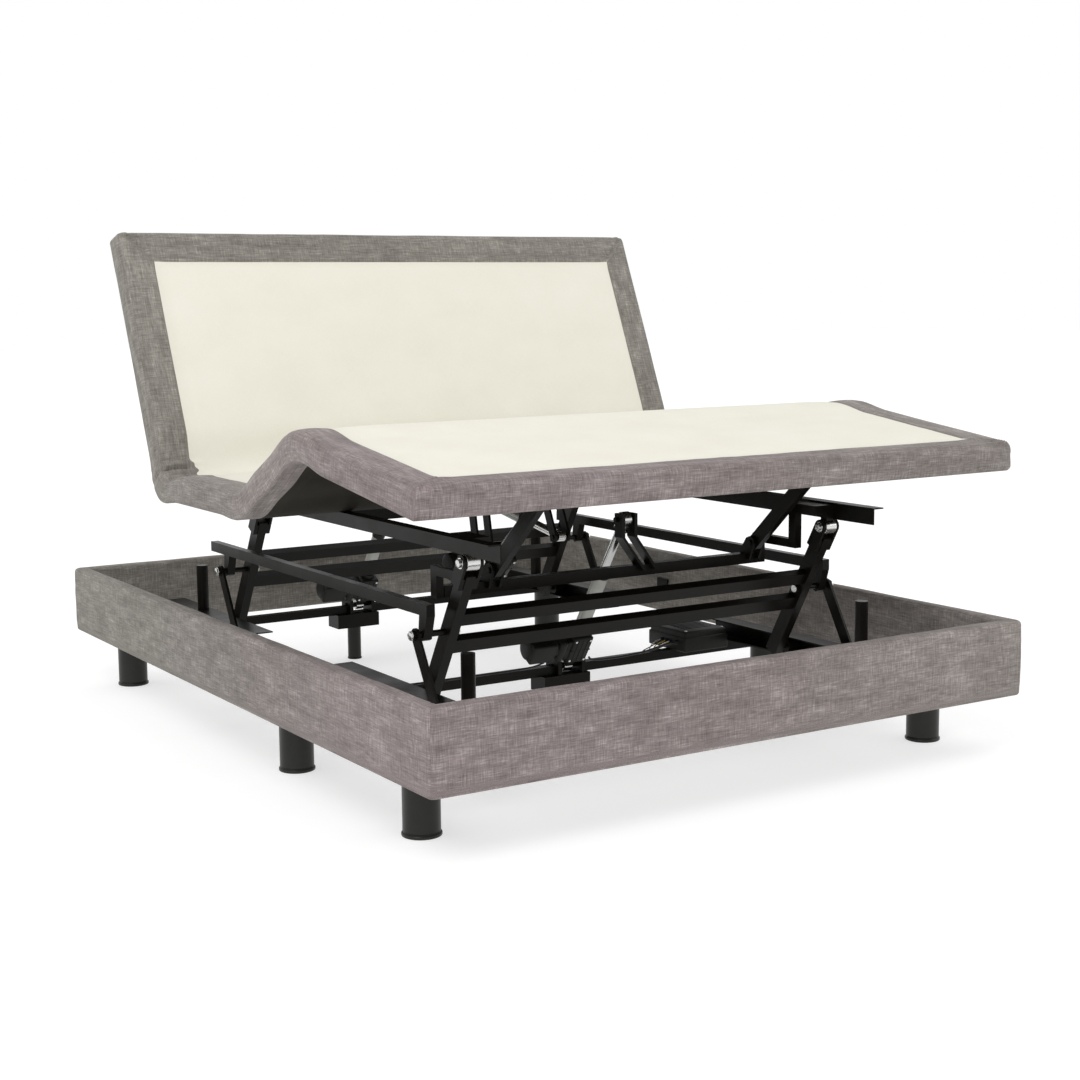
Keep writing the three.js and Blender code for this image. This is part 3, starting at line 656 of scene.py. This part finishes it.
def rail_relief(along, depth, height, to_corner, seed):
    """How far the cloth swells outwards and lifts upwards at one point of a rail."""
    swell = lift = 0.0
    if depth < 0.004 and RAIL_BOTTOM + 0.004 < height:
        wall = math.sin(math.pi * (height - RAIL_BOTTOM) / (RAIL_TOP - RAIL_BOTTOM))
        spot = Vector((along * 4.5 + seed * 7, height * 26, seed * 3))
        ripple = Vector((along * 13, height * 60, seed * 5))
        swell = 0.0014 * wall + 0.0017 * noise.noise(spot) + 0.0007 * noise.noise(ripple)
        swell += 0.0012 * math.exp(-((to_corner - 0.006) / 0.006) ** 2)
        swell -= 0.0014 * math.exp(-(to_corner / 0.0016) ** 2)
    if height > RAIL_TOP - 0.004:
        spot = Vector((along * 9, depth * 50, seed * 9))
        lift = 0.0014 * math.sin(math.pi * min(max(depth / RAIL_WALL, 0), 1)) + 0.0010 * noise.noise(spot)
        lift -= 0.0014 * math.exp(-((to_corner - depth) / 0.002) ** 2)
    return swell, lift


def make_rail(name, heading):
    """One wrapped rail, from mitre to mitre. heading is the compass direction of its outer face."""
    half = np.array([RAILS_HIGH[0], RAILS_HIGH[1]])
    outward = np.array(heading, float)
    sideways = np.array([-outward[1], outward[0]])
    reach = abs(half @ outward)
    run = abs(half @ sideways)
    section, around = rail_section()
    arc = [math.radians(a) for a in (45, 33.75, 22.5, 11.25)]
    straight = lines((-run + CORNER_RADIUS, 0.008), (-run + CORNER_CLOSE, 0.028), (run - CORNER_CLOSE, 0.008),
                     (run - CORNER_RADIUS, 0))
    stations = [(-1, -a, None) for a in arc]
    stations += [(0, 0, place) for place in straight]
    stations += [(1, a, None) for a in reversed(arc)]
    points, cloth = [], []
    for end, angle, place in stations:
        for (depth, height), travel in zip(section, around):
            radius = max(CORNER_RADIUS - depth, 0.0004)
            if end:
                normal = outward * math.cos(angle) + sideways * math.sin(angle)
                centre = outward * (reach - depth - radius) + sideways * end * (run - depth - radius)
                flat = centre + normal * radius
                along = end * (run - CORNER_RADIUS) + angle * CORNER_RADIUS
            else:
                share = place / (run - CORNER_RADIUS)
                normal = outward
                flat = outward * (reach - depth) + sideways * share * (run - depth - radius)
                along = place
            swell, lift = rail_relief(along, depth, height, run - abs(along), reach)
            flat = flat + normal * swell
            points.append((flat[0], flat[1], height + lift))
            # z is the share of painted warm light, as on the deck covers
            cloth.append((along + reach, travel, painted_warm_light_share(flat[0], flat[1])))
    rows, around_count = len(stations), len(section)
    first, last = range(around_count), range((rows - 1) * around_count, rows * around_count)
    faces = ring_faces(rows, around_count) + [tuple(first)[::-1], tuple(last)]
    rail = add_mesh(name + "_cover", points, faces, ["tweed"], sharp_angle=50)
    set_cloth(rail, cloth)
    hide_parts(name)
    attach(rail, "base_frame")


for side, heading in (("left", (-1, 0)), ("right", (1, 0)), ("foot", (0, -1)), ("head", (0, 1))):
    make_rail("base_rail_" + side, heading)


# ------------------------------------------------------------------ hard pieces
class Assembly:
    """Gathers solids with several finishes in one mesh. Sizes are millimetres in the piece's own frame."""

    def __init__(self, *finishes):
        """The finishes named here take the first material slots, in this order."""
        self.finishes = list(finishes)
        self.mesh = bmesh.new()

    def index(self, finish):
        if finish not in self.finishes:
            self.finishes.append(finish)
        return self.finishes.index(finish)

    def solid(self, finish, points, faces, chamfer=0.0, segments=2):
        """Adds one closed solid and rounds its sharp edges by chamfer."""
        part = bmesh.new()
        vertices = [part.verts.new(p) for p in points]
        for face in faces:
            part.faces.new([vertices[i] for i in face])
        bmesh.ops.recalc_face_normals(part, faces=part.faces)
        if chamfer:
            edges = [e for e in part.edges if e.calc_face_angle(0) > math.radians(35)]
            bmesh.ops.bevel(part, geom=edges, offset=chamfer, segments=segments, profile=0.5, affect="EDGES",
                            clamp_overlap=True)
        for face in part.faces:
            face.material_index = self.index(finish)
        scratch = bpy.data.meshes.new("scratch")
        part.to_mesh(scratch)
        part.free()
        self.mesh.from_mesh(scratch)
        bpy.data.meshes.remove(scratch)

    def block(self, finish, x, y, z, chamfer=1.0, segments=2):
        points = [(a, b, c) for a in x for b in y for c in z]
        faces = [(0, 1, 3, 2), (4, 6, 7, 5), (0, 4, 5, 1), (2, 3, 7, 6), (0, 2, 6, 4), (1, 5, 7, 3)]
        self.solid(finish, points, faces, chamfer, segments)

    def plate(self, finish, outline, x, chamfer=0.8, segments=2):
        """An outline of (y, z) points, drawn out along x."""
        count = len(outline)
        points = [(x[0], *p) for p in outline] + [(x[1], *p) for p in outline]
        faces = [tuple(range(count)), tuple(range(count, 2 * count))]
        faces += [(i, (i + 1) % count, count + (i + 1) % count, count + i) for i in range(count)]
        self.solid(finish, points, faces, chamfer, segments)

    def turned(self, finish, profile, centre=(0, 0), axis="y", sides=40, hollow=False):
        """A profile of (place along the axis, radius), spun about it. centre gives the other coordinates."""
        points = []
        for place, radius in profile:
            for i in range(sides):
                turn = 2 * math.pi * i / sides
                a, b = centre[0] + radius * math.cos(turn), centre[1] + radius * math.sin(turn)
                points.append({"x": (place, a, b), "y": (a, place, b), "z": (a, b, place)}[axis])
        faces = ring_faces(len(profile), sides, hollow)
        if not hollow:
            faces += [tuple(range(sides)), tuple(range((len(profile) - 1) * sides, len(profile) * sides))]
        self.solid(finish, points, faces)

    def rod(self, finish, radius, span, centre=(0, 0), axis="y", edge=0.8, sides=32):
        low, high = span
        profile = [(low, radius - edge), (low + edge, radius), (high - edge, radius), (high, radius - edge)]
        self.turned(finish, profile, centre, axis, sides)

    def tube(self, finish, outer, bore, span, centre=(0, 0), axis="y", inner_edge=0.4, sides=48):
        """A tube, ring or bush with a real hole and softened edges."""
        low, high = span
        loop = [(low, outer - 0.6), (low + 0.6, outer), (high - 0.6, outer), (high, outer - 0.6),
                (high, bore + inner_edge), (high - inner_edge, bore), (low + inner_edge, bore),
                (low, bore + inner_edge)]
        self.turned(finish, loop, centre, axis, sides, hollow=True)

    def bush(self, finish, outer, bore, x, place=0.0):
        """A ring along x, with its centre at place along y."""
        self.tube(finish, outer, bore, x, (place, 0), "x", inner_edge=0.5, sides=40)

    def hexagon(self, finish, across, span, centre):
        """A bolt head or nut along x; across is its width over the flats."""
        outline = [(centre[0] + across / 1.732 * math.cos(math.radians(60 * i + 12)),
                    centre[1] + across / 1.732 * math.sin(math.radians(60 * i + 12))) for i in range(6)]
        self.plate(finish, outline, sorted(span), chamfer=0.7)

    def build(self, name, body, replaced=(), matrix=None):
        """Makes the object in the row frame. matrix places the piece's own frame there, in millimetres."""
        mesh = bpy.data.meshes.new(name)
        self.mesh.to_mesh(mesh)
        self.mesh.free()
        mesh.transform(Matrix.Scale(MM, 4) @ (matrix or Matrix.Identity(4)))
        for finish in self.finishes:
            mesh.materials.append(MATERIAL[finish])
        mesh.shade_smooth()
        mesh.set_sharp_from_angle(angle=math.radians(32))
        piece = bpy.data.objects.new(name, mesh)
        bpy.context.scene.collection.objects.link(piece)
        if replaced:
            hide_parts(*replaced)
        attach(piece, body)
        return piece


def smoothed(route, steps):
    """A Catmull-Rom line through the route's points, with a number of steps between them."""
    points = [Vector(p) for p in route]
    ends = [points[0] * 2 - points[1]] + points + [points[-1] * 2 - points[-2]]
    line = []
    for a, b, c, d in zip(ends, ends[1:], ends[2:], ends[3:]):
        for i in range(steps):
            t = i / steps
            line.append(0.5 * (2 * b + (c - a) * t + (2 * a - 5 * b + 4 * c - d) * t ** 2
                               + (3 * b - 3 * c + d - a) * t ** 3))
    return line + [points[-1]]


def middle_of(node_name):
    low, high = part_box(node_name)
    return (low + high) / 2 / MM


# A leg's outline from the floor up, as (height, radius): a rubber foot, the tube and its top collar.
LEG_PROFILE = [(0, 37.5), (0.8, 39.6), (2, 40.5), (6, 40.5), (7.6, 39.4), (8.2, 37.6), (9.4, 37.2),
               (10.4, 37.6), (11, 38), (124, 38), (125.4, 38.4), (126.2, 39.5), (133.5, 39.5)]
CENTRE_LEG_PROFILE = [(0, 19), (1, 20.5), (4, 20.5), (5.4, 19.6), (6, 19), (95.8, 19)]


def make_leg(name, profile, sides):
    centre = middle_of(name)
    leg = Assembly()
    leg.turned("leg_plastic", profile, (centre.x, centre.y), "z", sides)
    leg.build(name + "_turned", "base_frame", [name])


def make_legs():
    for row in ("foot", "middle", "head"):
        for side in ("left", "right"):
            make_leg(f"leg_{row}_{side}", LEG_PROFILE, 64)
    make_leg("leg_centre_head", CENTRE_LEG_PROFILE, 40)


# The head crank's pin, from the head hinge with the panel flat, and where that is with the head up.
HEAD_CRANK = np.array([[0, -20.5, -56.4]])
HEAD_CRANK_TIP = turned(HEAD_CRANK, (0, 0, 0), HEAD_ANGLE)[0, 1:] + HEAD_HINGE[1:] / MM

# Linear motors, each built in its own frame with y along the rod. Given for each: the x of its middle, its
# body's pivot and its rod's pivot as (y, z), where the outer tube ends, the neck between the pivot and the
# gearbox, the side that the electric motor is on, the bores of the two eyes, and how far the rod runs in.
MOTORS = {
    "foot_lift": dict(x=45, start=(-226, 152), end=(-476, 534), tube=300, neck=34, side=-1,
                      bores=(7.4, 12), stroke=95),
    "head_lift": dict(x=0, start=(804, 157), end=(584, 500), tube=270, neck=34, side=-1,
                      bores=(7.4, 12), stroke=95),
    "leg_tilt": dict(x=-110, start=(-116, 370), end=(-396, 600), tube=250, neck=34, side=-1,
                     bores=(7.4, 12), stroke=72),
    "head_tilt": dict(x=100, start=tuple(HEAD_CRANK_TIP), end=(-120, 450), tube=350, neck=36, side=1,
                      bores=(17.2, 7.4), stroke=68),
}


def motor_eye(body, bore, neck):
    """The eye at a motor's lower end, and the two cheeks that carry it."""
    half = bore + 6.5
    body.bush("zinc" if bore < 10 else "motor_plastic", half, bore, (-11, 11))
    for edge in (-1, 1):
        cheek = sorted((edge * (half - 0.6), edge * 1.2))
        body.block("motor_plastic", (-9.5, 9.5), (bore + 1, neck + 4), cheek, 0.8)


def motor_gearbox(body, neck):
    """The gearbox in line with the tube, with its joint, ribs and screws."""
    body.block("motor_plastic", (-27, 27), (neck, neck + 78), (-29, 29), 4.5, 3)
    body.block("motor_plastic", (-27.8, 27.8), (neck + 38, neck + 41), (-29.8, 29.8), 1.2)
    for rib in (-13, 0, 13):
        body.block("motor_plastic", (rib - 1.6, rib + 1.6), (neck + 6, neck + 72), (-30.2, 30.2), 1.0)
    for across in (-20, 20):
        for along in (neck + 9, neck + 69):
            for screw in ((27, 30.3), (-30.3, -27)):
                body.rod("zinc", 3.2, screw, (across, along), "z", 0.6, 16)


def motor_can(body, neck, side):
    """The electric motor beside the gearbox, its shoulders, its cover and the gland for its lead."""
    body.block("motor_plastic", sorted((0, side * 41)), (neck + 12, neck + 66), (-25, 25), 4, 3)
    profile = [(36, 26), (38, 29.5), (44, 29.5), (46, 28), (60, 28), (61, 26.6), (65, 26.6), (66, 28),
               (132, 28), (138, 26), (141, 20), (142, 12)]
    profile = [(side * place, radius) for place, radius in profile]
    body.turned("motor_plastic", profile, (neck + 39, 0), "x", 56)
    body.block("motor_plastic", sorted((side * 40, side * 62)), (neck + 8, neck + 70), (-31, 31), 9, 4)
    body.block("motor_plastic", sorted((side * 68, side * 136)), (neck + 12, neck + 66), (-16, 29.6), 5, 3)
    body.rod("rubber", 5, sorted((side * 108, side * 122)), (neck + 66, -10), "x", 1.5, 24)


def make_motor(name, x, start, end, tube, neck, side, bores, stroke):
    """One linear motor, as a housing on its drive body and a rod on its ram body."""
    length = math.dist(start, end)
    angle = math.atan2(end[1] - start[1], end[0] - start[0])
    place = Matrix.Translation((x, *start)) @ Matrix.Rotation(angle, 4, "X")

    body = Assembly("motor_plastic")
    motor_eye(body, bores[0], neck)
    motor_gearbox(body, neck)
    motor_can(body, neck, side)
    collar = [(neck + 70, 17), (neck + 71, 21), (neck + 90, 21), (neck + 92, 17.4)]
    body.turned("motor_plastic", collar, (0, 0), "y", 48)
    body.tube("grey_tube", 17, 11.6, (neck + 70, tube - 13))
    body.tube("motor_plastic", 18.2, 11.2, (tube - 15, tube))
    body.build(name + "_motor_housing", name + "_drive", [name + "_motor"], place)

    eye = bores[1] + 5
    shoulder = length - bores[1]
    rod = Assembly("zinc")
    rod.rod("zinc", 10.5, (neck + 98 + stroke, shoulder - 2.5), edge=1.0, sides=40)
    rod.bush("zinc", eye, bores[1], (-10, 10), length)
    rod.block("zinc", (-10, 10), (shoulder - 21, shoulder - 1.5), (2 - eye, eye - 2), 2.2, 3)
    rod.build(name + "_rod_bar", name + "_ram", [name + "_rod"], place)


def make_controls():
    """The control box: base, lid with cooling ribs and screws, and the sockets on its left end."""
    low, high = (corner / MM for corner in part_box("control_box"))
    left = 352
    unit = Assembly("motor_plastic")
    unit.block("motor_plastic", (left, high.x), (low.y, high.y), (low.z, high.z - 14), 4, 3)
    unit.block("motor_plastic", (left + 3, high.x - 3), (low.y + 3, high.y - 3), (low.z + 20, high.z), 5, 3)
    for i in range(7):
        y = low.y + 36 + i * 14
        unit.block("motor_plastic", (left + 26, high.x - 26), (y, y + 5), (high.z - 3, high.z + 1.4), 1)
    for x in (left + 12, high.x - 12):
        for y in (low.y + 12, high.y - 12):
            unit.rod("zinc", 4, (high.z - 6, high.z + 1), (x, y), "z", 0.7, 20)
    unit.rod("rubber", 6, (340, left + 2), (-266, 180), "x", 1, 24)
    for y in (-240, -222, -204):
        unit.rod("rubber", 4.2, (left - 7, left + 2), (y, 178), "x", 0.8, 20)
    unit.build("control_box_housing", "base_frame", ["control_box"])


# Routes of the leads: from the control box to the foot motor's bracket, along the beam to the left track,
# and the loose wires between the control box's own sockets.
LIFT_MOTOR_ROUTE = [
    (339.6, -266, 180), (310, -266, 177), (260, -264, 168), (210, -262, 163),
    (160, -260, 161), (120, -260, 162), (96, -260, 166), (89.5, -260, 172)]
BEAM_ROUTE = [
    (-36, -256, 172), (-70, -252, 164), (-150, -243, 159.5), (-260, -236, 159),
    (-380, -232, 159), (-470, -230, 160), (-499, -230, 166)]
WHITE_ROUTE = [
    (346, -240, 179), (322, -243, 175), (304, -240, 165), (298, -228, 160),
    (304, -214, 161), (322, -206, 172), (346, -204, 179)]
YELLOW_ROUTE = [
    (346, -238, 176), (326, -236, 170), (312, -230, 166), (311, -224, 166),
    (326, -221, 172), (346, -221, 177)]
BLACK_ROUTE = [
    (346, -242, 176), (316, -252, 170), (284, -250, 163), (270, -236, 160),
    (280, -222, 160), (310, -214, 166), (346, -206, 176)]


def make_lead(name, route, radius, finish, replaced=()):
    """A free lead: a curve with round section."""
    line = smoothed(route, 10)
    curve = bpy.data.curves.new(name, "CURVE")
    curve.dimensions = "3D"
    curve.bevel_depth = radius * MM
    curve.bevel_resolution = 5
    curve.use_fill_caps = True
    spline = curve.splines.new("POLY")
    spline.points.add(len(line) - 1)
    for point, place in zip(spline.points, line):
        point.co = (*(place * MM), 1)
    curve.materials.append(MATERIAL[finish])
    lead = bpy.data.objects.new(name, curve)
    bpy.context.scene.collection.objects.link(lead)
    if replaced:
        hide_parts(*replaced)
    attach(lead, "base_frame")


def make_fasteners(end, shift):
    """Bright bolts, washers and sleeves at one end's scissors. shift is its place along y from the foot's."""
    # the pivots at the arms' tops, where arms and links cross, and at the links' lower ends, as (y, z)
    top = (-675 + shift, 505)
    middle = (-584.75 + shift, 348.68)
    anchor = (-675 + shift, 192.365)
    for side, sign in (("left", -1), ("right", 1)):
        on_arm = Assembly("zinc")
        for face, out in ((sign * 498.5, sign), (sign * 453.5, -sign)):
            on_arm.rod("zinc", 12, sorted((face, face + out * 2)), top, "x", 0.5, 32)
            on_arm.hexagon("zinc", 16, (face + out * 2, face + out * 8), top)
        on_arm.build(f"{end}_top_bolt_{side}", f"{end}_arms")
        clip = Assembly("zinc")
        clip.bush("zinc", 17.6, 16.1, (-15, 15))
        clip.build(f"{end}_pivot_sleeve_{side}", "deck_frame",
                   matrix=Matrix.Translation((sign * 476, *top)))
        on_link = Assembly("zinc")
        on_link.rod("zinc", 10.5, sorted((sign * 566, sign * 567.6)), middle, "x", 0.5, 32)
        on_link.hexagon("zinc", 17, (sign * 566, sign * 571), middle)
        on_link.rod("zinc", 9, sorted((sign * 454.5, sign * 458)), middle, "x", 0.8, 32)
        on_link.build(f"{end}_middle_bolt_{side}", f"{end}_links")
        on_base = Assembly("zinc")
        on_base.rod("zinc", 8.6, sorted((sign * 566, sign * 568.4)), anchor, "x", 0.5, 32)
        on_base.build(f"{end}_anchor_clip_{side}", "base_frame")


def finish_steel():
    """Powder coat and softened edges on the plain steel nodes."""
    for steel in frame["nodes"].values():
        if steel.hide_render:
            continue
        steel.data.materials.clear()
        steel.data.materials.append(MATERIAL["black_steel"])
        steel.data.shade_smooth()
        steel.data.set_sharp_from_angle(angle=math.radians(38))
        bevel = steel.modifiers.new("softened edges", "BEVEL")
        bevel.width = 0.0012
        bevel.segments = 2
        bevel.limit_method = "ANGLE"
        bevel.angle_limit = math.radians(40)
        bevel.harden_normals = True


make_legs()
for motor_name, motor_sizes in MOTORS.items():
    make_motor(motor_name, **motor_sizes)
make_controls()
make_lead("lift_motor_lead", LIFT_MOTOR_ROUTE, 2.6, "cable", ["lift_motor_cable"])
make_lead("beam_lead", BEAM_ROUTE, 2.2, "cable")
make_lead("white_wire", WHITE_ROUTE, 1.3, "wire_white")
make_lead("yellow_wire", YELLOW_ROUTE, 1.3, "wire_yellow")
make_lead("black_wire", BLACK_ROUTE, 1.3, "cable")
make_fasteners("foot", 0)
make_fasteners("head", 1043)
finish_steel()
